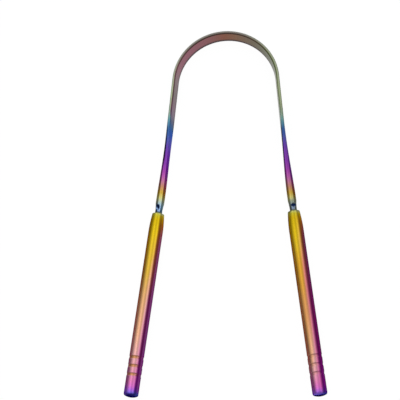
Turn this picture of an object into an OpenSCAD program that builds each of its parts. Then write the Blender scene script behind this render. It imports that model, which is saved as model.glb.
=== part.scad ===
// U-shaped tongue scraper: a sprung steel bow with two round handles.
// The bow is one round bar. Its middle is rolled flat into a band that is bent on the flat,
// and its two ends are necked down and held inside the handles.
// +Z is square to the plane of the U, the arc points to +Y and the handles to -Y.
// The origin lies under the middle of the whole scraper, level with the band's lower edge.

/* [Bow] */
// Radius of the arc, to the middle of the band's thickness
arc_r = 21; // [16:0.1:26]
// Angle that each arm leans outward where it leaves the arc, in degrees
splay = 5.5; // [3:0.5:12]
// Angle that each arm bends further outward along its taper
arm_bend = 2; // [0.5:0.5:4]
// Angle that the band's faces lean, so that its inner face looks up a little
lean = 5; // [0:1:10]
// Diameter of the round bar
bar_d = 3.4; // [3.1:0.1:3.8]
// Thickness of the rolled band
band_t = 1.3; // [0.9:0.05:1.6]
// Length of full band on each arm, beyond the arc
band_l = 18; // [4:1:24]
// Length over which the band swells back into the round bar
taper_l = 33; // [20:1:45]
// Length of plain round bar between the taper and the neck
round_l = 1.3; // [0.7:0.2:9.9]

/* [Neck and tang] */
// Diameter of the necked end, just outside the handle
neck_d = 3; // [2.4:0.1:3.1]
// Length of the neck up to the mouth of the handle
neck_l = 4.5; // [3:0.5:6]
// How much slimmer the neck is at its middle
neck_waist = 0.1; // [0.02:0.02:0.3]
// Length of the shoulder where the bar steps down to the neck
shoulder_l = 1.8; // [0.6:0.2:2.4]
// Diameter of the ball that presses each pinch mark
pinch_d = 3; // [1.6:0.2:4]
// Depth of each pinch mark
pinch_depth = 0.42; // [0.1:0.02:0.6]
// Angle of the pinch marks, turned outward from straight up
pinch_turn = 15; // [0:5:90]
// Diameter of the tang inside the handle
tang_d = 2.3; // [1.8:0.1:2.4]
// Length of tang that passes the inner end of the bush
tang_tail = 1; // [0.5:0.1:3]

/* [Handle tube] */
// Outer diameter of the handle
handle_d = 5.8; // [5.2:0.1:7]
// Wall of the handle tube
wall = 0.5; // [0.35:0.05:0.6]
// Length of the tube, from its mouth to its outer end
tube_l = 72.8; // [50:0.2:90]
// Outer diameter of the swaged mouth
mouth_d = 4.8; // [4.4:0.1:5]
// Length over which the tube swells from its mouth to its full diameter
swage_l = 8; // [4:0.5:14]
// Rounding of the mouth's rim
rim_r = 0.3; // [0.1:0.05:0.3]

/* [Rolled grooves] */
// Number of grooves
groove_count = 3; // [1:1:6]
// Distance from one groove to the next
groove_pitch = 3.4; // [2.4:0.1:5]
// Distance from the last groove to the outer end of the tube
groove_inset = 7.4; // [3:0.2:12]
// Width of a groove
groove_w = 1.4; // [0.8:0.1:1.6]
// Depth of a groove
groove_depth = 0.12; // [0.1:0.02:0.4]
// Height of the lip that rolling raises beside a groove
lip_h = 0.02; // [0.01:0.01:0.1]

/* [End plug] */
// Radius of the domed head's crown
crown_r = 6; // [4.5:0.5:10]
// Rounding between the crown and the side of the head
head_round = 1; // [0.4:0.1:1.4]
// Length of shank beyond the first groove
shank_tail = 2; // [1:0.5:6]
// Chamfer on the ends of the plug's shank and of the tang
lead_in = 0.3; // [0.1:0.05:0.5]

/* [Neck bush] */
// Length of the bush
bush_l = 12; // [9:0.5:20]
// How deep the bush sits behind the mouth's rim
bush_inset = 0.3; // [0.1:0.05:1]

/* [Fits] */
// Gap all round a pressed piece
press_gap = 0.02; // [0.01:0.01:0.05]

/* [Hidden] */
$fn = 96;

left = -1;
right = 1;
ring_points = 32;
taper_steps = 26;
curve_steps = 12;
rim_steps = 5;
groove_steps = 10;
lip_steps = 4;
band_corner_share = 0.65;
loft_share = 0.99;
loft_lap_share = 0.5;
lip_span_share = 0.5;
// Degrees that each half of the arc runs past the apex.
apex_lap = 3;

bar_r = bar_d / 2;
neck_r = neck_d / 2;
tang_r = tang_d / 2;
handle_r = handle_d / 2;
mouth_r = mouth_d / 2;
pinch_r = pinch_d / 2;

// The loft ends a hair inside the round bar, so that the two solids never touch edge on edge.
loft_r = bar_r * loft_share;
bar_area = PI * pow(loft_r, 2);

// Places along the bar's straight end, measured from the end of the taper.
neck_start = round_l;
mouth_s = neck_start + neck_l;
bush_s = mouth_s + bush_inset;
tang_end = bush_s + bush_l + tang_tail;

// An arm bends along a long arc. Its middle line at t along the taper, and where the taper ends.
bend_r = taper_l * 180 / (PI * arm_bend);
function bend_at(t) = arm_bend * t / taper_l;
function bent(t) = [band_l + bend_r * sin(bend_at(t)), bend_r * (1 - cos(bend_at(t)))];
bar_at = bent(taper_l);

// A smooth step from 0 to 1.
function smooth(u) = u * u * (3 - 2 * u);

// Rolling thins the bar and widens it, and the area of its section stays the same.
function half_t(f) = band_t / 2 + (loft_r - band_t / 2) * f;
function corner_r(f) = half_t(f) * (band_corner_share + (1 - band_corner_share) * f);
function half_w(f) = (bar_area + (4 - PI) * pow(corner_r(f), 2)) / (4 * half_t(f));

// Outline of the section at stage f, from 0 for the band to 1 for the round bar.
// x runs through the band's thickness and y across its width. The lean shears the band, so
// that its two edges stay level.
function leaned(x, y, f) = [x + y * tan(lean * (1 - f)), y];
function section(f) = [
    for (i = [0 : ring_points - 1])
        let (a = (i + 1 / 2) * 360 / ring_points, r = corner_r(f) / cos(180 / ring_points))
            leaned(
                sign(cos(a)) * (half_t(f) - corner_r(f)) + r * cos(a),
                sign(sin(a)) * (half_w(f) - corner_r(f)) + r * sin(a),
                f
            )
];

// The swaged nose is an arc that meets the straight tube without a corner.
swage_run = swage_l - rim_r;
swage_drop = handle_r - mouth_r;
swage_r = (pow(swage_run, 2) + pow(swage_drop, 2)) / (2 * swage_drop);
function swaged(z) = z >= swage_l ? handle_r
    : z <= rim_r ? mouth_r
    : handle_r - swage_r + sqrt(pow(swage_r, 2) - pow(swage_l - z, 2));

// Depth of a groove and height of its lips, at u half widths from its middle.
function dent(u) = abs(u) >= 1 ? 0 : groove_depth * pow(1 - pow(u, 4), 2);
function lip(u) = lip_h * pow(sin(180 * (abs(u) - 1) / lip_span_share), 2);
function groove_z(k) = tube_l - groove_inset - k * groove_pitch;
groove_half = groove_w / 2;
groove_marks = [for (i = [-groove_steps : 2 : groove_steps]) i / groove_steps];
lip_marks = [for (i = [1 : lip_steps]) 1 + i * lip_span_share / lip_steps];

// Points [radius, z] along the outside of the grooved end, and along its bore less a gap.
grooved_outside = [
    for (k = [groove_count - 1 : -1 : 0]) each [
        for (i = [lip_steps - 1 : -1 : 0])
            [handle_r + lip(lip_marks[i]), groove_z(k) - lip_marks[i] * groove_half],
        for (u = groove_marks) [handle_r - dent(u), groove_z(k) + u * groove_half],
        for (m = lip_marks) [handle_r + lip(m), groove_z(k) + m * groove_half]
    ]
];
function grooved_bore(gap) = [
    for (k = [groove_count - 1 : -1 : 0]) for (u = groove_marks)
        [handle_r - wall - dent(u) - gap, groove_z(k) + u * groove_half]
];
function swaged_bore(from, gap) = [
    for (i = [0 : curve_steps])
        let (z = from + (swage_l - from) * i / curve_steps) [swaged(z) - wall - gap, z]
];

// The head's crown and its rounding are arcs that meet without a corner.
round_at = handle_r - head_round;
crown_tilt = asin(round_at / (crown_r - head_round));
crown_z = -sqrt(pow(crown_r - head_round, 2) - pow(round_at, 2));
shank_l = groove_inset + (groove_count - 1) * groove_pitch + shank_tail;

// The scraper lies with its box's middle over the origin and the band's lower edge at z = 0.
mid_z = half_w(0);
crown_s = mouth_s + tube_l + crown_z;
crown_at = bar_at + crown_s * [cos(arm_bend), sin(arm_bend)];
reach_back = crown_at[0] * cos(splay) - (arc_r + crown_at[1]) * sin(splay) + crown_r;
reach_front = arc_r + max([for (p = section(0)) p[0]]);
arc_y = (reach_back - reach_front) / 2;

// Puts children on the left or the right side.
module on_side(side) {
    mirror([side == left ? 1 : 0, 0, 0])
        children();
}

// Puts children on the right arm: +X runs down it from the end of the arc, +Y points outward.
module on_arm() {
    translate([0, arc_y, mid_z])
        rotate([0, 0, splay - 90])
            translate([0, arc_r, 0])
                children();
}

// Puts children on the straight end of the right arm, measured from the end of the taper.
module on_bar() {
    on_arm()
        translate([bar_at[0], bar_at[1], 0])
            rotate([0, 0, arm_bend])
                children();
}

// Puts children on one handle, measured from its mouth.
module on_handle(side) {
    on_side(side)
        on_bar()
            translate([mouth_s, 0, 0])
                children();
}

// Turns a profile of [radius, place along the arm] about the arm's own axis.
module turned(points) {
    rotate([0, 90, 0])
        rotate_extrude()
            polygon(points);
}

// Right half of the arc. It runs a little past the apex, so that the two halves join.
module half_arc() {
    translate([0, arc_y, mid_z])
        rotate([0, 0, splay])
            rotate_extrude(angle = 90 - splay + apex_lap)
                translate([arc_r, 0])
                    polygon(section(0));
}

// Points of a section that stands square to the line through at, turned by an angle.
function ring(at, turn, f) = [
    for (p = section(f)) [at[0] - p[0] * sin(turn), at[1] + p[0] * cos(turn), p[1]]
];

// Flat band, tapering by even stages into the round bar and ending a little inside it.
module arm_loft() {
    lap = round_l * loft_lap_share;
    points = [
        each ring([0, 0], 0, 0),
        for (i = [0 : taper_steps - 1])
            let (u = i / taper_steps, t = u * taper_l) each ring(bent(t), bend_at(t), smooth(u)),
        each ring(bar_at + lap * [cos(arm_bend), sin(arm_bend)], arm_bend, 1)
    ];
    n = ring_points;
    last = len(points) - n;
    sides = [
        for (k = [0 : taper_steps]) for (i = [0 : n - 1])
            let (a = k * n + i, b = k * n + (i + 1) % n)
                each [[a, b + n, b], [a, a + n, b + n]]
    ];
    start_cap = [for (i = [1 : n - 2]) [0, i, i + 1]];
    end_cap = [for (i = [1 : n - 2]) [last, last + i + 1, last + i]];
    polyhedron(points, concat(sides, start_cap, end_cap));
}

// Round bar, shoulder, waisted neck and the tang that goes through the bush.
module bar_end() {
    neck_from = neck_start + shoulder_l;
    neck_run = bush_s - neck_from;
    shoulder = [
        for (i = [0 : rim_steps])
            let (u = i / rim_steps)
                [bar_r + (neck_r - bar_r) * smooth(u), neck_start + shoulder_l * u]
    ];
    waist = [
        for (i = [1 : curve_steps])
            let (u = i / curve_steps)
                [neck_r - neck_waist * sin(180 * u), neck_from + neck_run * u]
    ];
    tang = [[tang_r, bush_s], [tang_r, tang_end - lead_in], [tang_r - lead_in, tang_end]];
    turned(concat([[0, 0], [bar_r, 0]], shoulder, waist, tang, [[0, tang_end]]));
}

// The pinch marks face each other across the neck.
module pinch_marks() {
    for (facing = [0, 180])
        translate([neck_start + neck_l / 2, 0, 0])
            rotate([-pinch_turn - facing, 0, 0])
                translate([0, 0, neck_r - pinch_depth + pinch_r])
                    sphere(pinch_r);
}

// Two halves that meet at the apex and are one bar.
module scraper_bow() {
    color("mediumorchid")
        for (side = [left, right])
            on_side(side) {
                half_arc();
                on_arm()
                    arm_loft();
                on_bar()
                    difference() {
                        bar_end();
                        pinch_marks();
                    }
            }
}

// Swaged mouth, straight tube and rolled grooves, with a bore that follows them.
module handle_tube(side) {
    rim = [
        for (i = [0 : rim_steps])
            let (a = 90 * i / rim_steps)
                [mouth_r - rim_r + rim_r * sin(a), rim_r - rim_r * cos(a)]
    ];
    nose = [
        for (i = [1 : curve_steps])
            let (z = rim_r + swage_run * i / curve_steps) [swaged(z), z]
    ];
    ends = [[handle_r, tube_l], [handle_r - wall, tube_l]];
    outside = concat(rim, nose, grooved_outside, ends);
    bore = concat([[mouth_r - wall, 0]], swaged_bore(rim_r, 0), grooved_bore(0));
    color("gold")
        on_handle(side)
            turned(concat(outside, [for (i = [len(bore) - 1 : -1 : 0]) bore[i]]));
}

// Plug with a domed head. Its shank is held by the grooves that are rolled into the tube.
module end_plug(side) {
    shank_r = handle_r - wall - press_gap;
    from = tube_l - shank_l;
    shank = concat(
        [[0, from], [shank_r - lead_in, from], [shank_r, from + lead_in]],
        grooved_bore(press_gap),
        [[shank_r, tube_l]]
    );
    rounding = [
        for (i = [0 : curve_steps])
            let (a = (90 - crown_tilt) * i / curve_steps)
                [round_at + head_round * cos(a), tube_l + head_round * sin(a)]
    ];
    crown = [
        for (i = [1 : curve_steps])
            let (a = crown_tilt * (1 - i / curve_steps))
                [crown_r * sin(a), tube_l + crown_z + crown_r * cos(a)]
    ];
    color("indigo")
        on_handle(side)
            turned(concat(shank, rounding, crown));
}

// Bush that fills the swaged mouth, bored for the tang.
module neck_bush(side) {
    bore_r = tang_r + press_gap;
    outside = swaged_bore(bush_inset, press_gap);
    inner_end = bush_inset + bush_l;
    color("silver")
        on_handle(side)
            turned(concat(
                [[bore_r, bush_inset]],
                outside,
                [[handle_r - wall - press_gap, inner_end], [bore_r, inner_end]]
            ));
}

scraper_bow();
handle_tube(left);  // left_handle_tube
handle_tube(right);  // right_handle_tube
end_plug(left);  // left_end_plug
end_plug(right);  // right_end_plug
neck_bush(left);  // left_neck_bush
neck_bush(right);  // right_neck_bush
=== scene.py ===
"""U-shaped tongue scraper with a rainbow film on polished steel, dressed round its CAD part.

Lengths are in millimetres until a mesh is made, and angles are in degrees. The frame is the
part's own: +Z is square to the plane of the U, the arc points to +Y and the handles to -Y.
"""

import math
from typing import NamedTuple

import bpy
from mathutils import Matrix, Vector


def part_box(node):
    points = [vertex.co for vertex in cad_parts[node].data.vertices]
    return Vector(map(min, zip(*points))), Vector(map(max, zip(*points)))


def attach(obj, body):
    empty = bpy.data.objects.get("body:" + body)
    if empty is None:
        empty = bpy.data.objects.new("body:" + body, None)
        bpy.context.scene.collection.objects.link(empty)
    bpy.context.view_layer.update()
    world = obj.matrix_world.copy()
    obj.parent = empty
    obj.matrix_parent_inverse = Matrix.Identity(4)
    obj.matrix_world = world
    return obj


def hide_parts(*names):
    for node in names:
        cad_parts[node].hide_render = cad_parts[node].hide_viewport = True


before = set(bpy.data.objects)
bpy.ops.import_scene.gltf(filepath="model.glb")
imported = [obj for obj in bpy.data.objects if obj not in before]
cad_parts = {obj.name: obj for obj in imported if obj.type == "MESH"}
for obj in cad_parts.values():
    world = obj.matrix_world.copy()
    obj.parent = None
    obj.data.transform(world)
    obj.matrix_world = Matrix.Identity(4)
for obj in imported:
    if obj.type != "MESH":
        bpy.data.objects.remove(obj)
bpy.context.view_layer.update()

MM = 0.001
LEFT = -1
RIGHT = 1

# Bow
ARC_R = 21
SPLAY = 5.5
ARM_BEND = 2
LEAN = 5
BAR_R = 1.7
BAND_T = 1.3
BAND_L = 18
TAPER_L = 33
ROUND_L = 1.3
LOFT_SHARE = 0.99
CORNER_SHARE = 0.65

# Neck and tang
NECK_R = 1.5
NECK_L = 4.5
NECK_WAIST = 0.1
SHOULDER_L = 1.8
PINCH_R = 1.5
PINCH_DEPTH = 0.42
PINCH_TURN = 15
PINCH_SOFT = 0.05
TANG_R = 1.15
LEAD_IN = 0.3

# Handle tube
HANDLE_R = 2.9
WALL = 0.5
TUBE_L = 72.8
MOUTH_R = 2.4
SWAGE_L = 8
RIM_R = 0.3
GROOVE_COUNT = 3
GROOVE_PITCH = 3.4
GROOVE_INSET = 7.4
GROOVE_HALF = 0.7
GROOVE_DEPTH = 0.12
LIP_H = 0.02
LIP_SPAN = 0.5
SEAM_L = 0.08
SEAM_DEPTH = 0.03
SEAM_GAP = 0.01

# End plug and neck bush
CROWN_R = 6
HEAD_ROUND = 1
SHANK_TAIL = 2
PRESS_GAP = 0.02
BUSH_L = 12
BUSH_INSET = 0.3
TANG_TAIL = 1

# Points round the bow and round the tubes and plugs, and along the section for its size
BOW_POINTS = 96
TURNED_POINTS = 128
SECTION_POINTS = 400
# The turn from face to face, in degrees, above which an edge is sharp
SHARP_TURN = 38

# Half length, half turn in degrees and middle, past PINCH_AT, of the pinches' painted shade ovals
PINCH_SHADES = {LEFT: (1.15, 36, -0.6), RIGHT: (0.8, 60, -0.15)}
# The painted shade line in a groove: how far on the mouth's side of its middle, and half its
# width, as shares of the groove's half width
LINE_SHIFT_SHARE = 0.45
LINE_WIDTH_SHARE = 0.5

# Places along an arm, measured from the end of the arc
TAPER_END = BAND_L + TAPER_L
NECK_START = TAPER_END + ROUND_L
MOUTH = NECK_START + NECK_L
BUSH_AT = MOUTH + BUSH_INSET
TANG_END = BUSH_AT + BUSH_L + TANG_TAIL
PINCH_AT = NECK_START + NECK_L / 2
HALF_ARC_L = math.radians(90 - SPLAY) * ARC_R


def smooth(u):
    """A smooth step from 0 to 1."""
    u = min(1.0, max(0.0, u))
    return u * u * (3 - 2 * u)


# Shapes


def band_section(stage, share):
    """Point [through the thickness, across the width] of the section at a stage of the rolling.

    Stage 0 is the band and stage 1 the round bar.
    """
    loft_r = BAR_R * LOFT_SHARE
    half_t = BAND_T / 2 + (loft_r - BAND_T / 2) * stage
    corner = half_t * (CORNER_SHARE + (1 - CORNER_SHARE) * stage)
    half_w = (math.pi * loft_r**2 + (4 - math.pi) * corner**2) / (4 * half_t)
    quadrant, q = divmod(4 * share, 1)
    if quadrant % 2:
        q = 1 - q
    flat_w, flat_t, turn_l = half_w - corner, half_t - corner, corner * math.pi / 2
    whole = flat_w + flat_t + turn_l
    corner_points = 0.55
    part_w = (1 - corner_points) * flat_w / whole
    part_t = (1 - corner_points) * flat_t / whole
    if q < part_w:
        u, w = half_t, flat_w * q / part_w
    elif q > 1 - part_t:
        u, w = flat_t * (1 - q) / part_t, half_w
    else:
        a = math.pi / 2 * (q - part_w) / (1 - part_w - part_t)
        u, w = flat_t + corner * math.cos(a), flat_w + corner * math.sin(a)
    grow = 1 + (1 / LOFT_SHARE - 1) * stage**6
    u *= grow * (1 if quadrant in (0, 3) else -1)
    w *= grow * (1 if quadrant in (0, 1) else -1)
    return u, w


def leaned(stage, u, w):
    """Through the thickness, where the band's faces lean and its two edges stay level."""
    return u + w * math.tan(math.radians(LEAN)) * (1 - stage)


# The arc's centre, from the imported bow
BOW_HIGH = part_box("scraper_bow")[1]
BAND = [band_section(0, i / SECTION_POINTS) for i in range(SECTION_POINTS)]
BAND_OUT = max(leaned(0, u, w) for u, w in BAND)
BAND_HALF_W = max(w for u, w in BAND)
ARC_CENTRE = Vector((0, BOW_HIGH.y / MM - ARC_R - BAND_OUT, BOW_HIGH.z / MM / 2))


def station(turn, along):
    """Centre and outward axis of the bar, at an angle round the arc and a length down the arm."""
    a = math.radians(turn)
    outward = Vector((math.cos(a), math.sin(a), 0))
    down = Vector((abs(outward.y) * (1 if outward.x > 0 else -1), -abs(outward.x), 0))
    centre = ARC_CENTRE + outward * ARC_R + down * min(along, BAND_L)
    radius = TAPER_L / math.radians(ARM_BEND)
    b = min(max(along - BAND_L, 0), TAPER_L) / radius
    centre += down * (radius * math.sin(b)) + outward * (radius * (1 - math.cos(b)))
    centre += (down * math.cos(b) + outward * math.sin(b)) * max(along - TAPER_END, 0)
    return centre, outward * math.cos(b) - down * math.sin(b)


def bar_radius(along):
    """Radius of the round bar, its neck and its tang."""
    neck_from = NECK_START + SHOULDER_L
    if along <= NECK_START:
        return BAR_R
    if along <= neck_from:
        return BAR_R + (NECK_R - BAR_R) * smooth((along - NECK_START) / SHOULDER_L)
    if along < BUSH_AT:
        return NECK_R - NECK_WAIST * math.sin(math.pi * (along - neck_from) / (BUSH_AT - neck_from))
    return TANG_R - max(0, along - (TANG_END - LEAD_IN))


def pinched(radius, along, angle):
    """The radius where two balls have pressed the neck, facing each other across it."""
    reach = NECK_R - PINCH_DEPTH + PINCH_R
    if along < TAPER_END:
        return radius
    for facing in (0, math.pi):
        towards = math.pi / 2 - math.radians(PINCH_TURN) + facing
        near = reach * math.cos(angle - towards)
        inside = near**2 - reach**2 - (along - PINCH_AT) ** 2 + PINCH_R**2
        if near > 0 and inside > 0:
            pressed = near - math.sqrt(inside)
            h = max(0, PINCH_SOFT - abs(radius - pressed)) / PINCH_SOFT
            radius = min(radius, pressed) - h * h * PINCH_SOFT / 4
    return radius


def pinch_shade(side, along, angle):
    """How near the middle of a pinch's painted shade oval a place on the neck is, 1 there and 0
    outside.
    """
    half_l, half_turn, middle = PINCH_SHADES[side]
    towards = math.radians(90 - PINCH_TURN)
    across = math.degrees(math.remainder(angle - towards, math.pi)) / half_turn
    return max(0, 1 - math.hypot((along - PINCH_AT - middle) / half_l, across))


def steps(start, end, count):
    """Even places from start to end, without the end."""
    return [start + (end - start) * i / count for i in range(count)]


def mesh_object(name, rings, marks, capped):
    """A closed skin over rings of points. Each ring's marks go on its points as named values."""
    points = [p for ring in rings for p in ring]
    n = len(rings[0])
    last = len(rings) - 1
    pairs = [(k, k + 1) for k in range(last)] + ([] if capped else [(last, 0)])
    faces = [
        (a * n + i, a * n + (i + 1) % n, b * n + (i + 1) % n, b * n + i)
        for a, b in pairs
        for i in range(n)
    ]
    if capped:
        faces += [tuple(range(n)), tuple(reversed(range(last * n, (last + 1) * n)))]
    mesh = bpy.data.meshes.new(name)
    mesh.from_pydata([p * MM for p in points], [], faces)
    for mark, values in marks.items():
        attribute = mesh.attributes.new(mark, "FLOAT", "POINT")
        attribute.data.foreach_set("value", values)
    turn_outward(mesh)
    mesh.shade_smooth()
    mesh.set_sharp_from_angle(angle=math.radians(SHARP_TURN))
    obj = bpy.data.objects.new(name, mesh)
    bpy.context.scene.collection.objects.link(obj)
    return obj


def turn_outward(mesh):
    """Flips the faces if the mesh's volume is negative, so that they face outward."""
    volume = 0
    for face in mesh.polygons:
        corners = [mesh.vertices[i].co for i in face.vertices]
        for b, c in zip(corners[1:], corners[2:]):
            volume += corners[0].dot(b.cross(c))
    if volume < 0:
        mesh.flip_normals()


def scraper_bow():
    """One skin from the right arm's tang round the arc to the left arm's tang.

    Its points are marked with their place along the arm from the end of the arc, their path from
    the arc's middle (negative on the left), how far they are towards the inside of the bend and
    up the width of the band, as shares of its half sizes, and how dark a pinch's painted shade is.
    """
    edge_l = 0.001
    arm = [
        (place, smooth((place - BAND_L) / TAPER_L))
        for place in [
            *steps(0, BAND_L, count=10),
            *steps(BAND_L, TAPER_END, count=60),
            *steps(TAPER_END, NECK_START, count=4),
            *steps(NECK_START, BUSH_AT, count=66),
            BUSH_AT,
            BUSH_AT + edge_l,
            TANG_END - LEAD_IN,
            TANG_END,
        ]
    ]
    arc = steps(SPLAY, 180 - SPLAY, count=166)[1:]
    path = [(SPLAY, place, stage) for place, stage in reversed(arm)]
    path += [(turn, 0, 0) for turn in arc]
    path += [(180 - SPLAY, place, stage) for place, stage in arm]
    n = BOW_POINTS
    rings = []
    marks = {"place": [], "path": [], "inward": [], "rise": [], "pressed": []}
    for turn, along, stage in path:
        centre, outward = station(turn, along)
        side = LEFT if turn > 90 else RIGHT
        arc_l = math.radians(abs(turn - 90)) * ARC_R
        ring = []
        for i in range(n):
            if along < TAPER_END:
                u, w = band_section(stage, i / n)
                marks["pressed"].append(0)
            else:
                a = 2 * math.pi * i / n
                r = pinched(bar_radius(along), along, a)
                u, w = r * math.cos(a), r * math.sin(a)
                marks["pressed"].append(pinch_shade(side, along, a))
            ring.append(centre + outward * leaned(stage, u, w) + Vector((0, 0, w)))
            marks["inward"].append(-u / (BAND_T / 2) if stage < 1 else 0)
            marks["rise"].append(w / BAND_HALF_W if stage < 1 else 0)
        rings.append(ring)
        marks["place"] += [arc_l - HALF_ARC_L + along] * n
        marks["path"] += [side * (arc_l + along)] * n
    return mesh_object("rainbow_bow", rings, marks, True)


def swaged(z):
    """Outer radius of the tube at z from its mouth, where its nose is swaged down."""
    run, drop = SWAGE_L - RIM_R, HANDLE_R - MOUTH_R
    r = (run**2 + drop**2) / (2 * drop)
    if z >= SWAGE_L:
        return HANDLE_R
    return HANDLE_R - r + math.sqrt(r**2 - (SWAGE_L - max(z, RIM_R)) ** 2)


def groove_places():
    """Middles of the grooves, from the mouth."""
    first = TUBE_L - GROOVE_INSET - (GROOVE_COUNT - 1) * GROOVE_PITCH
    return [first + k * GROOVE_PITCH for k in range(GROOVE_COUNT)]


def dent(z):
    """Depth of the rolled grooves at z, negative on the lips beside them."""
    for middle in groove_places():
        u = abs(z - middle) / GROOVE_HALF
        if u < 1:
            return GROOVE_DEPTH * (1 - u**4) ** 2
        if u < 1 + LIP_SPAN:
            return -LIP_H * math.sin(math.pi * (u - 1) / LIP_SPAN) ** 2
    return 0


def groove_shade_line(z):
    """How dark the painted shade line is on the mouth's side of each groove, from 0 to 1."""
    shares = [(z - middle) / GROOVE_HALF + LINE_SHIFT_SHARE for middle in groove_places()]
    return smooth(1 - min(abs(share) for share in shares) / LINE_WIDTH_SHARE)


def tube_profile():
    """Closed outline [radius, z] of a handle tube: its outside, then its bore."""
    rim = [
        (MOUTH_R - RIM_R + RIM_R * math.sin(a), RIM_R - RIM_R * math.cos(a))
        for a in steps(0, math.pi / 2, count=10)
    ]
    grooves = groove_places()
    margin = GROOVE_HALF * (1 + LIP_SPAN)
    start, end = grooves[0] - margin, grooves[-1] + margin
    seam = TUBE_L - SEAM_L
    across_grooves = steps(start, end, count=170)
    nose = [(swaged(z), z) for z in steps(RIM_R, SWAGE_L, count=40)]
    straight = [(HANDLE_R, z) for z in steps(SWAGE_L, start, count=40)]
    rolled = [(HANDLE_R - dent(z), z) for z in across_grooves]
    tail = [(HANDLE_R, z) for z in [*steps(end, seam, count=8), seam]]
    edge = [(HANDLE_R - SEAM_DEPTH, TUBE_L)]
    bore = [(HANDLE_R - WALL, TUBE_L)]
    bore += [(HANDLE_R - WALL - max(0, dent(z)), z) for z in reversed(across_grooves)]
    bore += [(swaged(z) - WALL, z) for z in reversed(steps(RIM_R, SWAGE_L, count=20))]
    return rim + nose + straight + rolled + tail + edge + bore + [(MOUTH_R - WALL, 0)]


def plug_profile():
    """Outline [radius, z] of an end plug, from the axis inside the tube to the tip of its crown."""
    shank = HANDLE_R - WALL - PRESS_GAP
    grooves = groove_places()
    start, end = grooves[0] - GROOVE_HALF, grooves[-1] + GROOVE_HALF
    inner = grooves[0] - SHANK_TAIL
    round_at = HANDLE_R - HEAD_ROUND
    tilt = math.asin(round_at / (CROWN_R - HEAD_ROUND))
    crown_z = TUBE_L - math.sqrt((CROWN_R - HEAD_ROUND) ** 2 - round_at**2)
    outline = [(shank - LEAD_IN, inner), (shank, inner + LEAD_IN)]
    outline += [(shank - max(0, dent(z)), z) for z in steps(start, end, count=80)]
    outline += [(shank, end), (shank, TUBE_L), (HANDLE_R - SEAM_DEPTH, TUBE_L + SEAM_GAP)]
    n = 24
    for i in range(1, n + 1):
        a = (math.pi / 2 - tilt) * i / n
        outline.append((round_at + HEAD_ROUND * math.cos(a), TUBE_L + HEAD_ROUND * math.sin(a)))
    for i in range(1, n):
        a = tilt * (1 - i / n)
        outline.append((CROWN_R * math.sin(a), crown_z + CROWN_R * math.cos(a)))
    return outline


def turned(name, side, profile, closed):
    """Turns a profile of [radius, z from the mouth] about one handle's axis.

    Its points are marked as the bow's are, and with how deep a groove is there and how dark the
    painted shade line in it is.
    """
    n = TURNED_POINTS
    turn = SPLAY if side == RIGHT else 180 - SPLAY
    rings = []
    marks = {"place": [], "path": [], "rolled": [], "groove_shade": []}
    for radius, z in profile:
        centre, outward = station(turn, MOUTH + z)
        ring = []
        for i in range(n):
            a = 2 * math.pi * i / n
            up = Vector((0, 0, radius * math.sin(a)))
            ring.append(centre + outward * (radius * math.cos(a)) + up)
        rings.append(ring)
        marks["place"] += [MOUTH + z] * n
        marks["path"] += [side * (HALF_ARC_L + MOUTH + z)] * n
        marks["rolled"] += [max(0, dent(z)) / GROOVE_DEPTH] * n
        marks["groove_shade"] += [groove_shade_line(z)] * n
    return mesh_object(name, rings, marks, not closed)


# Materials


def linear(colour):
    """A colour written as six hex digits, as a linear RGBA value."""
    channels = [int(colour[i : i + 2], 16) / 255 for i in (0, 2, 4)]
    return (
        *(c / 12.92 if c <= 0.04045 else ((c + 0.055) / 1.055) ** 2.4 for c in channels),
        1,
    )


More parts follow.
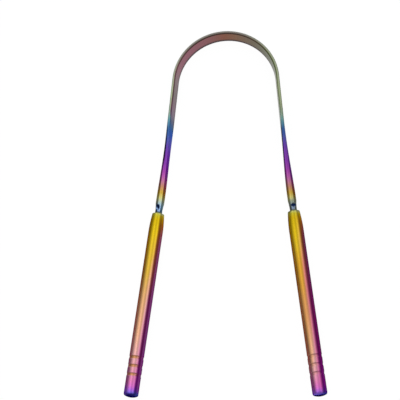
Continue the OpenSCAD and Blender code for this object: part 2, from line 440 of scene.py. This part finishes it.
class Surface:
    """A node material under construction. Its methods add nodes and return their last output."""

    def __init__(self, name):
        self.material = bpy.data.materials.new(name)
        self.material.use_nodes = True
        self.tree = self.material.node_tree
        self.shader = self.tree.nodes["Principled BSDF"]

    def node(self, kind, **settings):
        made = self.tree.nodes.new(kind)
        for name, value in settings.items():
            setattr(made, name, value)
        return made

    def feed(self, socket, value):
        if isinstance(value, bpy.types.NodeSocket):
            self.tree.links.new(value, socket)
        else:
            socket.default_value = value

    def mark(self, name):
        return self.node("ShaderNodeAttribute", attribute_name=name).outputs["Fac"]

    def math(self, operation, a, b=0.0):
        made = self.node("ShaderNodeMath", operation=operation)
        self.feed(made.inputs[0], a)
        self.feed(made.inputs[1], b)
        return made.outputs[0]

    def product(self, value, *factors):
        """The value times each factor."""
        for factor in factors:
            value = self.math("MULTIPLY", value, factor)
        return value

    def between(self, value, low, high, to_low=0.0, to_high=1.0):
        """Smoothly from to_low, where value is low, to to_high, where it is high."""
        made = self.node("ShaderNodeMapRange", interpolation_type="SMOOTHSTEP")
        for socket, v in zip(made.inputs, (value, low, high, to_low, to_high)):
            self.feed(socket, v)
        return made.outputs[0]

    def levels(self, value, level, changes):
        """A level that changes smoothly along value, in rows of where from, where to and level."""
        for low, high, next_level in changes:
            level = self.between(value, low, high, level, next_level)
        return level

    def ramp(self, value, stops):
        """Colours at places along value, as {place: colour}."""
        low, high = min(stops), max(stops)
        share = self.node("ShaderNodeMapRange")
        for socket, v in zip(share.inputs, (value, low, high, 0.0, 1.0)):
            self.feed(socket, v)
        made = self.node("ShaderNodeValToRGB")
        elements = made.color_ramp.elements
        while len(elements) < len(stops):
            elements.new(0.5)
        for element, (place, colour) in zip(elements, sorted(stops.items())):
            element.position = (place - low) / (high - low)
            element.color = linear(colour)
        self.feed(made.inputs[0], share.outputs[0])
        return made.outputs[0]

    def mix(self, share, a, b):
        """Share of b over a. A Mix node has its colours in sockets 6 and 7, and their mix in 2."""
        made = self.node("ShaderNodeMix", data_type="RGBA")
        self.feed(made.inputs[0], share)
        self.feed(made.inputs[6], a)
        self.feed(made.inputs[7], b)
        return made.outputs[2]

    def noise(self, scale, stretch=(1, 1, 1), detail=3.0):
        """Noise over the object's own place, in turns per metre, drawn out by stretch."""
        mapping = self.node("ShaderNodeMapping")
        self.feed(mapping.inputs["Vector"], self.node("ShaderNodeTexCoord").outputs["Object"])
        mapping.inputs["Scale"].default_value = stretch
        made = self.node("ShaderNodeTexNoise")
        self.feed(made.inputs["Vector"], mapping.outputs[0])
        made.inputs["Scale"].default_value = scale
        made.inputs["Detail"].default_value = detail
        return made.outputs["Fac"]

    def bump(self, height, distance, strength):
        made = self.node("ShaderNodeBump")
        made.inputs["Distance"].default_value = distance
        made.inputs["Strength"].default_value = strength
        self.feed(made.inputs["Height"], height)
        return made.outputs[0]

    def facing(self):
        """The surface's own normal along X, in the part's frame."""
        split = self.node("ShaderNodeSeparateXYZ")
        self.feed(split.inputs[0], self.node("ShaderNodeTexCoord").outputs["Normal"])
        return split.outputs[0]


# The film's colours at places along an arm and its handle, where light falls on it squarely
LIT = {
    -30: "aeb89a",
    0: "c0cca6",
    6: "c0cea2",
    11: "b2bc96",
    15: "9cb49e",
    16.8: "7cb0ac",
    18.3: "669fb0",
    20: "588cb0",
    22: "4470a8",
    24.6: "486ab6",
    26.6: "5e66bc",
    28.7: "7050be",
    31.6: "864abf",
    36: "9648bc",
    39: "b04eb6",
    41.2: "c864ba",
    43.4: "d080a8",
    45.8: "d69874",
    48.2: "deb848",
    50.8: "e4e08c",
    53: "bcd8dc",
    54.6: "a8ccff",
    56: "98b8e8",
    # A painted shadow where the neck meets the tube's mouth
    56.5: "3c4c5c",
    56.85: "4a4c38",
    57.1: "d3d888",
    57.9: "d4c838",
    59.8: "e1c019",
    66: "f0cc24",
    82: "edbf4c",
    90: "efb878",
    98: "f8bb8c",
}
LIT_LOW = {
    98: "f8bb8c",
    106: "ffc097",
    114: "fdbdb8",
    120: "f9aebb",
    125: "f78cc8",
    127: "f080dc",
    # A painted highlight: the pale violet band just above the tip's dome
    128.4: "bc76f4",
    129.2: "9078f4",
    129.7: "463ca4",
    130.1: "221c5c",
    131.2: "1c1850",
}

# The colours where the surface turns down to the left: the film's hue there, darkened as painted
# shade
LEFT_EDGE_SHADE = {
    -30: "70705c",
    16: "607c74",
    18: "407078",
    20: "245270",
    23: "142c54",
    27.7: "1a1c3c",
    32.5: "2e1444",
    37.3: "60286e",
    41.2: "683264",
    43.6: "724650",
    46: "765430",
    48.4: "846c1c",
    51: "88885a",
    54.2: "2c4460",
    56.6: "2c3c48",
    57.4: "8a8740",
    59.8: "7c5e10",
    68.7: "825a1a",
    80.7: "7a502a",
    92.8: "885440",
    112.9: "845058",
    126: "78406c",
    129: "5c3890",
    131.2: "241c5c",
}

# The colours where it turns down to the right: the film's hue there, darkened as painted shade
RIGHT_EDGE_SHADE = {
    -30: "6a6a50",
    0: "76805a",
    10: "75845c",
    16: "6c8c74",
    18: "5c9490",
    20.5: "40749c",
    22: "446cb4",
    24: "506eb8",
    27.4: "6864b8",
    32: "703ca8",
    37.3: "682490",
    41.4: "702c80",
    43.8: "823468",
    46.2: "803c40",
    48.6: "845618",
    51: "847e44",
    54.2: "5c7c8c",
    56.4: "344858",
    57.1: "a7b081",
    58: "b09a20",
    59.6: "a47c12",
    62: "985c18",
    66: "904a1c",
    71: "8a4026",
    80.7: "863634",
    92.8: "741a54",
    112.9: "6c1058",
    126: "741076",
    128.6: "4c1c84",
    129.4: "343c8c",
    131.2: "24285c",
}

# The band's upper edge, from its outer corner to its inner one: a painted highlight, then painted
# shade
RIM_LIGHT_AND_SHADE = {-1: "b0aea6", -0.2: "95928a", 0.45: "6a5c52", 0.9: "4a3833"}

# The band's inner face, along the arc from the left arm to the right one
INNER = {
    -54: "34589c",
    -50.5: "30528a",
    -48.5: "404c6c",
    -46.5: "5e4662",
    -43: "6a4458",
    -38: "5c4848",
    -32: "705456",
    -26: "8c5462",
    -18: "8a5460",
    -9: "86565a",
    -5: "80544e",
    -1: "804e3a",
    4: "7a583f",
    9: "6c5a44",
    16: "5c5c3c",
    26: "5c6a40",
    36: "828e66",
    45: "7c8a6a",
    48.5: "78988a",
    51: "648c8c",
    53.5: "4c7c8c",
    56: "3c5c8c",
}


class Tint(NamedTuple):
    """A colour over the film: its share on the left and right side and its levels along the part.

    facing is how far to the right a surface faces where the tint begins and where it is whole.
    """

    colour: str
    left: float
    right: float
    levels: tuple
    facing: tuple = None


# Below, a pair is where a change begins and where it is complete. Levels are rows of such a pair
# and the level that it leads to, along the part in mm. A facing is the surface's normal along X,
# from -1 on the left to 1 on the right.

# The right handle's own tints, and one for the far right edge of both handles
AMBER = Tint("f08030", 0, 0.3, ((70, 80, 1), (98, 112, 0)))
ROSE = Tint("d8409a", 0, 0.6, ((54, 90, 1), (127, 129.5, 0)), (-0.1, 0.45))
# VIOLET deepens the right edge's painted shade towards dark violet
VIOLET = Tint("08085c", 0, 0.4, ((60, 69, 1), (82, 98, 0)), (0.5, 0.78))
FAR_EDGE = Tint("7c4880", 0.6, 0.24, ((60, 70, 1), (127, 130, 0)), (0.66, 0.86))

# The arc's middle stretch, where the left side passes into the right one, by the path
SIDES = (-20, 20)
# How far the colours drift along the part, in mm, and the noise that moves them
DRIFT = 2.0
DRIFT_SCALE = 90
# The right side turns its colours a little further to the right
RIGHT_TURN = 0.03

# How far the right side's colours lag behind the left one's, in mm: along the arm and at the tip
BLUE_LAG = 2
RIGHT_LAGS = ((20.5, 25, 0), (34, 42, 1.2), (54, 57, 0), (121, 126, 1.2), (130, 131, 0))
# How much longer gold lasts on the right handle's left side, in mm: everywhere and lower down
GOLD_LAG = 6
GOLD_FACING = (-0.2, 0.15)
GOLD_LEVELS = ((62, 84, 1), (113, 126, 0))
LOW_GOLD_LAG = 12
LOW_GOLD_FACING = (-0.45, -0.1)
LOW_GOLD_AT = (92, 110)

# How far ahead the colours are where a handle's surface slants to the right, in mm
SLANT_SHIFT = 20
SLANT_FACING = (0.06, 0.4)
SLANT_LEVELS = ((58, 92, 1), (96, 128, 0))
# Where the ramp LIT passes into LIT_LOW
LIT_JOIN = (96, 98)

# How far back along the colours a left groove is, in mm, and how golden the grooves are
ROLLED_SHIFT = 18
ROLLED_SHADE = (0, 0.55)
GROOVE_GOLD = "cc8648"
GOLD_SHARES = (0.6, 0.2)
# The painted shade line in a groove
GROOVE_SHADE = "641410"
GROOVE_SHADE_SHARE = 0.35

# Where the bow's and handles' surfaces begin to turn down left into painted shade, and over how far
BOW_LEFT_FROM = -0.05
HANDLE_LEFT_FROM = -0.25
LEFT_SPAN = 0.5
# How much less the right side turns down to the left: on the arm, the handle and the tip
LESS_LEFT = 0.25
LESS_LEFT_LEVELS = ((50, 60, 0.12), (90, 118, 0.03))
# How much more the outside of the left arm does
OUTER_LEVELS = ((19.8, 21.8, 0.5), (32, 39, 0))
OUTER_FROM = (-0.5, 0.1)

# Where a surface begins to turn down to the right into painted shade, on the left and the right
# side, and where it has turned
RIGHT_FROM = (0.3, 0.2)
RIGHT_TO = 0.6
# The lower handle is a little duskier before that, in painted shade
DUSK = 0.18
DUSK_FACING = (-0.12, 0.15)
DUSK_AT = (78, 98)

# How much darker the right side is on its arm, neck and handle, in painted shade
LEAST_DIM = 0.06
ARM_DIM = 0.33
ARM_DIM_FACING = (-0.3, 0.4)
NECK_DIM = 0.75
NECK_DIM_FACING = (0.25, 0.65)
NECK_AT = (52.5, 54.5)
HANDLE_DIM = 0.12
HANDLE_DIM_FACING = (-0.45, -0.15)
HANDLE_AT = (56, 58)

# The band's inner face: the painted shade at its lower edge, how far the face reaches down the
# arms, and where it begins past the rim, which is wider there
LOWER_EDGE_SHADE = "35282a"
LOWER_EDGE_AT = (-0.8, -0.3)
BAND_AT = (18, 23)
FACE_FROM = (0, 0.4)
WIDER_RIM = 0.45
WIDER_RIM_AT = (14, 17.5)
# The band's upper rim's painted highlight: where it shows, and how clearly along the path from left
# to right
RIM_RISE = (0.84, 0.93)
RIM_AT = (-6, 14)
RIM_LEFT = 0.25
RIM_LEVELS = ((-40, -12, 1), (4, 24, 0.1))
# Painted shade: the duller, darker stretch at the right neck, by the path, and the pinches' ovals
RIGHT_NECK_SHADE = "707468"
RIGHT_NECK_SHADE_LEVELS = ((82, 84, 0.55), (88.2, 88.5, 0))
PINCH_SHADE_COLOUR = "10244c"
PINCH_SHADE_AT = (0.02, 0.45)

# How much of the film's colour stays on surfaces that are seen edge on, from below the arc
EDGE_ON = 0.7
EDGE_ON_AT = (14, 24)
EDGE_GREY = (0.8, 0.78, 0.8, 1)
BLACK = (0, 0, 0, 1)

# Scuffs, which roughen the polish, and drawing lines, both drawn out along the arms. The depth
# of the lines is in m
SCUFFS = {"scale": 700, "stretch": (1, 0.12, 1), "detail": 4.0}
SCUFF_AT = (0.25, 0.75)
SCUFF_ROUGHNESS = (0.25, 0.33)
DRAW_LINES = {"scale": 5200, "stretch": (1, 0.02, 1), "detail": 2.0}
DRAW_DEPTH = 0.000008
DRAW_STRENGTH = 0.2

# The bushes' steel
STEEL_DARK = "3a3c44"
STEEL_LIGHT = "9aa0a6"
STEEL_SCALE = 900
STEEL_AT = (0.3, 0.7)
STEEL_GREY = (0.22, 0.34)
STEEL_GRAIN_SCALE = 2400
STEEL_ROUGHNESS = (0.3, 0.45)


class Film:
    """The rainbow film: its colour goes by the place along the part and turns with the surface.

    Surfaces that face further left than left_from darken in painted shade. Those that slant to the
    right take the colour slant_shift further along. The right side's film differs from the left
    one's.
    """

    def __init__(self, surface, left_from, slant_shift):
        self.surface = surface
        self.left_from = left_from
        self.slant_shift = slant_shift
        self.facing = surface.facing()
        self.on_right = surface.between(surface.mark("path"), *SIDES)
        turn = surface.product(self.on_right, RIGHT_TURN)
        self.side = surface.math("SUBTRACT", self.facing, turn)
        self.place = self.colour_place()
        self.gold_place = self.place_with_late_gold()

    def by_side(self, left, right):
        """One value on the left side and another on the right one."""
        return self.surface.between(self.on_right, 0, 1, left, right)

    def colour_place(self):
        """The place along the part whose colour shows, with the drift, grooves and lag."""
        surface = self.surface
        drift = surface.math("SUBTRACT", surface.noise(DRIFT_SCALE), 0.5)
        rolled = surface.product(surface.mark("rolled"), self.by_side(-ROLLED_SHIFT, 0))
        along = surface.math("ADD", surface.mark("place"), rolled)
        along = surface.math("ADD", along, surface.product(drift, DRIFT))
        lag = surface.product(self.on_right, surface.levels(along, BLUE_LAG, RIGHT_LAGS))
        return surface.math("SUBTRACT", along, lag)

    def place_with_late_gold(self):
        """The same place, moved back where gold lasts longer on the right handle."""
        surface = self.surface
        low = surface.product(
            surface.between(self.side, *LOW_GOLD_FACING, 1, 0),
            surface.between(self.place, *LOW_GOLD_AT, 0, LOW_GOLD_LAG),
        )
        lag = surface.math("ADD", low, surface.between(self.side, *GOLD_FACING, GOLD_LAG, 0))
        on_handle = surface.levels(self.place, 0, GOLD_LEVELS)
        return surface.math("SUBTRACT", self.place, surface.product(self.on_right, lag, on_handle))

    def tinted(self, colour, tint):
        """The colour with a tint over it."""
        surface = self.surface
        share = surface.product(
            self.by_side(tint.left, tint.right), surface.levels(self.place, 0, tint.levels)
        )
        if tint.facing:
            share = surface.product(share, surface.between(self.side, *tint.facing))
        return surface.mix(share, colour, linear(tint.colour))

    def lit(self):
        """The colour where light falls on the film squarely, which runs ahead on a slant."""
        surface = self.surface
        slant = surface.product(
            surface.between(self.side, *SLANT_FACING),
            surface.levels(self.place, 0, SLANT_LEVELS),
            self.slant_shift,
        )
        place = surface.math("ADD", self.gold_place, slant)
        low = surface.between(place, *LIT_JOIN)
        colour = surface.mix(low, surface.ramp(place, LIT), surface.ramp(place, LIT_LOW))
        return self.tinted(self.tinted(colour, AMBER), ROSE)

    def grooved(self, colour):
        """The colour with gold on the grooves' floors and a painted shade line on their mouth's
        side.
        """
        surface = self.surface
        floor = surface.between(surface.mark("rolled"), *ROLLED_SHADE)
        gold = surface.product(floor, self.by_side(*GOLD_SHARES))
        colour = surface.mix(gold, colour, linear(GROOVE_GOLD))
        line = surface.product(surface.mark("groove_shade"), GROOVE_SHADE_SHARE)
        return surface.mix(line, colour, linear(GROOVE_SHADE))

    def turned_left(self):
        """How far a surface has turned down to the left, which sets the share of its painted shade.
        """
        surface = self.surface
        levels = surface.levels(self.place, LESS_LEFT, LESS_LEFT_LEVELS)
        less = surface.product(self.on_right, levels)
        outer = surface.product(
            self.by_side(1, 0),
            surface.levels(self.place, 0, OUTER_LEVELS),
            surface.between(surface.mark("inward"), *OUTER_FROM, 1, 0),
        )
        turned = surface.math("SUBTRACT", surface.math("ADD", self.facing, less), outer)
        return surface.between(turned, self.left_from, self.left_from - LEFT_SPAN)

    def turned_right(self):
        """How far it has turned down to the right, which sets the share of its painted shade, with
        a painted dusk lower down.
        """
        surface = self.surface
        dusk = surface.product(
            surface.between(self.side, *DUSK_FACING), surface.between(self.place, *DUSK_AT, 0, DUSK)
        )
        return surface.between(self.side, self.by_side(*RIGHT_FROM), RIGHT_TO, dusk)

    def dimmed(self):
        """How dark the painted shade on the right side is: more where it faces right, and on both
        sides of the neck.
        """
        surface = self.surface
        across = surface.math("ABSOLUTE", self.side)
        arm = surface.between(self.side, *ARM_DIM_FACING, LEAST_DIM, ARM_DIM)
        neck = surface.between(across, *NECK_DIM_FACING, LEAST_DIM, NECK_DIM)
        handle = surface.between(self.side, *HANDLE_DIM_FACING, 0, HANDLE_DIM)
        dim = surface.levels(self.place, arm, ((*NECK_AT, neck), (*HANDLE_AT, handle)))
        return surface.product(self.on_right, dim)

    def colour(self):
        """The film's whole colour, from the lit middle to the two edges in painted shade, darker on
        the right.
        """
        surface = self.surface
        left = surface.ramp(self.gold_place, LEFT_EDGE_SHADE)
        right = self.tinted(surface.ramp(self.place, RIGHT_EDGE_SHADE), VIOLET)
        colour = surface.mix(self.turned_left(), self.grooved(self.lit()), left)
        colour = surface.mix(self.turned_right(), colour, right)
        colour = surface.mix(self.dimmed(), colour, BLACK)
        return self.tinted(colour, FAR_EDGE)


def polish(surface):
    """Bare metal with faint scuffs and drawing lines."""
    shader = surface.shader
    shader.inputs["Metallic"].default_value = 1
    scuffs = surface.between(surface.noise(**SCUFFS), *SCUFF_AT, *SCUFF_ROUGHNESS)
    surface.feed(shader.inputs["Roughness"], scuffs)
    lines = surface.bump(surface.noise(**DRAW_LINES), DRAW_DEPTH, DRAW_STRENGTH)
    surface.feed(shader.inputs["Normal"], lines)


def coat(surface, colour, edge_on):
    """Puts the film's colour on, and a share of it on surfaces that are seen edge on."""
    polish(surface)
    surface.feed(surface.shader.inputs["Base Color"], colour)
    edge = surface.mix(edge_on, EDGE_GREY, colour)
    surface.feed(surface.shader.inputs["Specular Tint"], edge)
    return surface.material


def inner_face(surface, colour):
    """The band's inside has colours of its own, down to where the band has narrowed, and painted
    shade along its lower edge.
    """
    place, rise = surface.mark("place"), surface.mark("rise")
    face = surface.ramp(surface.mark("path"), INNER)
    lower_shade = surface.between(rise, *LOWER_EDGE_AT, 1, 0)
    face = surface.mix(lower_shade, face, linear(LOWER_EDGE_SHADE))
    wider = surface.between(place, *WIDER_RIM_AT, 0, WIDER_RIM)
    inward = surface.math("SUBTRACT", surface.mark("inward"), wider)
    shown = surface.product(
        surface.between(inward, *FACE_FROM), surface.between(place, *BAND_AT, 1, 0)
    )
    return surface.mix(shown, colour, face)


def painted_rim_highlight(surface, colour):
    """A painted highlight on the band's upper edge on the arc, most of all near its middle, with
    painted shade at its inner corner.
    """
    shown = surface.product(
        surface.between(surface.mark("rise"), *RIM_RISE),
        surface.between(surface.mark("place"), *RIM_AT, 1, 0),
        surface.levels(surface.mark("path"), RIM_LEFT, RIM_LEVELS),
    )
    return surface.mix(shown, colour, surface.ramp(surface.mark("inward"), RIM_LIGHT_AND_SHADE))


def neck_shades(surface, colour):
    """Painted shade: a duller, darker stretch at the right neck, and the dark ovals of the pinches.
    """
    right_neck_shade = surface.levels(surface.mark("path"), 0, RIGHT_NECK_SHADE_LEVELS)
    colour = surface.mix(right_neck_shade, colour, linear(RIGHT_NECK_SHADE))
    pinch = surface.between(surface.mark("pressed"), *PINCH_SHADE_AT)
    return surface.mix(pinch, colour, linear(PINCH_SHADE_COLOUR))


def bow_film():
    surface = Surface("bow_film")
    colour = Film(surface, BOW_LEFT_FROM, 0).colour()
    colour = inner_face(surface, colour)
    colour = painted_rim_highlight(surface, colour)
    colour = neck_shades(surface, colour)
    edge_on = surface.between(surface.mark("place"), *EDGE_ON_AT, 0, EDGE_ON)
    return coat(surface, colour, edge_on)


def handle_film(name):
    surface = Surface(name)
    return coat(surface, Film(surface, HANDLE_LEFT_FROM, SLANT_SHIFT).colour(), EDGE_ON)


def bush_steel():
    surface = Surface("bush_steel")
    shader = surface.shader
    shader.inputs["Metallic"].default_value = 1
    grey = surface.between(surface.noise(STEEL_SCALE), *STEEL_AT, *STEEL_GREY)
    colour = surface.mix(grey, linear(STEEL_DARK), linear(STEEL_LIGHT))
    surface.feed(shader.inputs["Base Color"], colour)
    grain = surface.between(surface.noise(STEEL_GRAIN_SCALE), *STEEL_AT, *STEEL_ROUGHNESS)
    surface.feed(shader.inputs["Roughness"], grain)
    return surface.material


def dress(obj, material, slot, *nodes):
    obj.data.materials.append(material)
    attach(obj, "root")
    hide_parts(*nodes)


# Studio

# Lamps: how far each is turned to the right and how wide it is, in degrees, and how bright it is,
# where a white floor is 1
SOFTBOXES = {
    "left_fill": (-52, 32, 0.22),
    "left_key": (-24, 24, 0.68),
    "top_fill": (3, 30, 0.33),
    "right_strip": (32, 28, 0.72),
    "right_fill": (66, 36, 0.26),
}
SKY = (0.38, 0.38, 0.39, 1)
FLOOR_SHADE = (0.9, 0.9, 0.9, 1)
FLOOR_ROUGHNESS = 0.9
FLOOR_GLOW = 1.04
# How much of the floor's look is its glow, where it is seen, and how far it is below the part, in m
GLOW_SHARE = 0.93
FLOOR_DROP = 0.0001


def camera():
    """The photograph's view: a long lens, a little to the right of the object and below it."""
    yaw, pitch, roll = math.radians(6.5), math.radians(15.3), math.radians(0.55)
    distance, slide, drop = 600, -10.75, -47.42
    focal_px, frame_px, sensor = 1467, 400, 36
    level = math.cos(pitch)
    back = Vector((math.sin(yaw) * level, -math.sin(pitch), math.cos(yaw) * level))
    across = Matrix.Rotation(roll, 3, back) @ Vector((0, 1, 0)).cross(back).normalized()
    up = back.cross(across)
    eye = ARC_CENTRE + back * distance + across * slide + up * drop
    data = bpy.data.cameras.new("camera")
    data.sensor_width = sensor
    data.lens = focal_px * sensor / frame_px
    data.clip_start = 0.05
    obj = bpy.data.objects.new("camera", data)
    turn = Matrix((across, up, back)).transposed().to_4x4()
    obj.matrix_world = Matrix.Translation(eye * MM) @ turn
    bpy.context.scene.collection.objects.link(obj)
    bpy.context.scene.camera = obj


def softbox(name, turn, spread, level):
    """An area lamp over the object, turned to the right and as wide as spread is seen from it.

    Its distance and length are in metres.
    """
    distance, length, raised = 0.9, 1.3, 14
    back = Vector((0, math.sin(math.radians(raised)), math.cos(math.radians(raised))))
    back = Matrix.Rotation(math.radians(turn), 3, "Y") @ back
    data = bpy.data.lights.new(name, "AREA")
    data.shape = "RECTANGLE"
    data.size, data.size_y = 2 * distance * math.tan(math.radians(spread / 2)), length
    data.energy = level * math.pi * data.size * data.size_y
    obj = bpy.data.objects.new(name, data)
    across = Vector((0, 1, 0)).cross(back).normalized()
    turn_to = Matrix((across, back.cross(across), back)).transposed().to_4x4()
    obj.matrix_world = Matrix.Translation(back * distance) @ turn_to
    obj.visible_camera = False
    bpy.context.scene.collection.objects.link(obj)


def white_floor():
    """White where it is seen, also in the metal, but a little darker in the object's shadow."""
    size = 4
    mesh = bpy.data.meshes.new("floor")
    corners = [(-size, -size, 0), (size, -size, 0), (size, size, 0), (-size, size, 0)]
    mesh.from_pydata(corners, [], [(0, 1, 2, 3)])
    floor = bpy.data.objects.new("floor", mesh)
    floor.location.z = -FLOOR_DROP
    bpy.context.scene.collection.objects.link(floor)
    surface = Surface("floor_white")
    surface.shader.inputs["Base Color"].default_value = FLOOR_SHADE
    surface.shader.inputs["Roughness"].default_value = FLOOR_ROUGHNESS
    surface.shader.inputs["Specular IOR Level"].default_value = 0
    rays = surface.node("ShaderNodeLightPath").outputs
    seen = surface.math("ADD", rays["Is Camera Ray"], rays["Is Glossy Ray"])
    seen = surface.math("ADD", seen, rays["Is Transmission Ray"])
    glow = surface.node("ShaderNodeEmission")
    glow.inputs["Strength"].default_value = FLOOR_GLOW
    blend = surface.node("ShaderNodeMixShader")
    surface.feed(blend.inputs[0], surface.product(seen, GLOW_SHARE))
    surface.feed(blend.inputs[1], surface.shader.outputs[0])
    surface.feed(blend.inputs[2], glow.outputs[0])
    output = surface.tree.nodes["Material Output"]
    surface.feed(output.inputs["Surface"], blend.outputs[0])
    mesh.materials.append(surface.material)


def studio():
    white_floor()
    for name, (turn, spread, level) in SOFTBOXES.items():
        softbox(name, turn, spread, level)
    world = bpy.data.worlds.new("studio")
    world.use_nodes = True
    world.node_tree.nodes["Background"].inputs["Color"].default_value = SKY
    bpy.context.scene.world = world
    bpy.context.scene.view_settings.view_transform = "Standard"


bow = scraper_bow()
dress(bow, bow_film(), "bow_film", "scraper_bow")
tube_material = handle_film("handle_film")
plug_material = handle_film("tip_film")
steel = bush_steel()
for side, word in ((LEFT, "left"), (RIGHT, "right")):
    tube = turned(f"{word}_rainbow_tube", side, tube_profile(), True)
    dress(tube, tube_material, "handle_film", f"{word}_handle_tube")
    plug = turned(f"{word}_rainbow_plug", side, plug_profile(), False)
    dress(plug, plug_material, "tip_film", f"{word}_end_plug")
    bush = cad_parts[f"{word}_neck_bush"]
    bush.data.materials.clear()
    bush.data.materials.append(steel)

camera()
studio()
